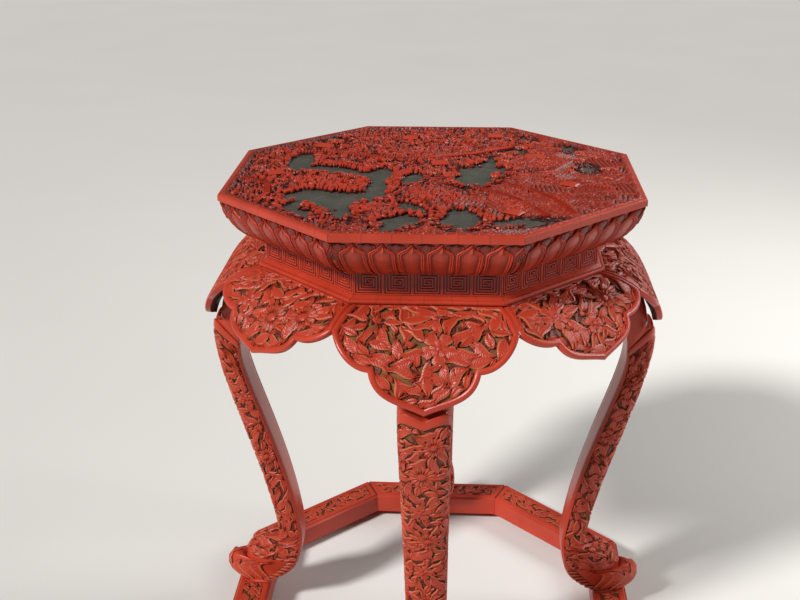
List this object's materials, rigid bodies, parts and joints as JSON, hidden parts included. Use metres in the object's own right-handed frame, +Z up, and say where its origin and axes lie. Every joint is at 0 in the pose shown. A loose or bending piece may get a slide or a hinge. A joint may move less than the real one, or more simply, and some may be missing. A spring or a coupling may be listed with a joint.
{
  "type": "octagonal lacquer stand",
  "caption": "Octagonal carved red lacquer stand: mitred top with a floating panel under a carved field, waist, lobed bombe aprons, cabriole legs with curled feet, and an octagonal base frame on pads.",
  "frame": {"origin": "on the floor, on the stand's vertical axis", "axes": "+Z up along the stand's axis, -Y towards the front side, +X to the right"},
  "size_m": [0.4638, 0.4638, 0.5056],
  "materials": {
    "carved_lacquer": "carved cinnabar lacquer over wood, semi-gloss",
    "plain_lacquer": "plain polished cinnabar lacquer over wood",
    "dark_ground": "dark green-black lacquer ground under the carving",
    "black_wood": "black lacquered wood, matt"
  },
  "bodies": {
    "root": {"top_panel": "dark_ground", "carved_field": "carved_lacquer", "top_rail_front": "plain_lacquer", "top_rail_front_right": "plain_lacquer", "top_rail_right": "plain_lacquer", "top_rail_back_right": "plain_lacquer", "top_rail_back": "plain_lacquer", "top_rail_back_left": "plain_lacquer", "top_rail_left": "plain_lacquer", "top_rail_front_left": "plain_lacquer", "batten_left": "black_wood", "batten_right": "black_wood", "waist_board_front": "carved_lacquer", "waist_board_front_right": "carved_lacquer", "waist_board_right": "carved_lacquer", "waist_board_back_right": "carved_lacquer", "waist_board_back": "carved_lacquer", "waist_board_back_left": "carved_lacquer", "waist_board_left": "carved_lacquer", "waist_board_front_left": "carved_lacquer", "waist_moulding_front": "plain_lacquer", "waist_moulding_front_right": "plain_lacquer", "waist_moulding_right": "plain_lacquer", "waist_moulding_back_right": "plain_lacquer", "waist_moulding_back": "plain_lacquer", "waist_moulding_back_left": "plain_lacquer", "waist_moulding_left": "plain_lacquer", "waist_moulding_front_left": "plain_lacquer", "apron_front": "carved_lacquer", "apron_front_right": "carved_lacquer", "apron_right": "carved_lacquer", "apron_back_right": "carved_lacquer", "apron_back": "carved_lacquer", "apron_back_left": "carved_lacquer", "apron_left": "carved_lacquer", "apron_front_left": "carved_lacquer", "leg_front": "carved_lacquer", "leg_right": "carved_lacquer", "leg_back": "carved_lacquer", "leg_left": "carved_lacquer", "base_rail_front": "carved_lacquer", "base_rail_front_right": "carved_lacquer", "base_rail_right": "carved_lacquer", "base_rail_back_right": "carved_lacquer", "base_rail_back": "carved_lacquer", "base_rail_back_left": "carved_lacquer", "base_rail_left": "carved_lacquer", "base_rail_front_left": "carved_lacquer", "foot_pad_1": "plain_lacquer", "foot_pad_2": "plain_lacquer", "foot_pad_3": "plain_lacquer", "foot_pad_4": "plain_lacquer", "foot_pad_5": "plain_lacquer", "foot_pad_6": "plain_lacquer", "foot_pad_7": "plain_lacquer", "foot_pad_8": "plain_lacquer"}
  },
  "joints": []
}
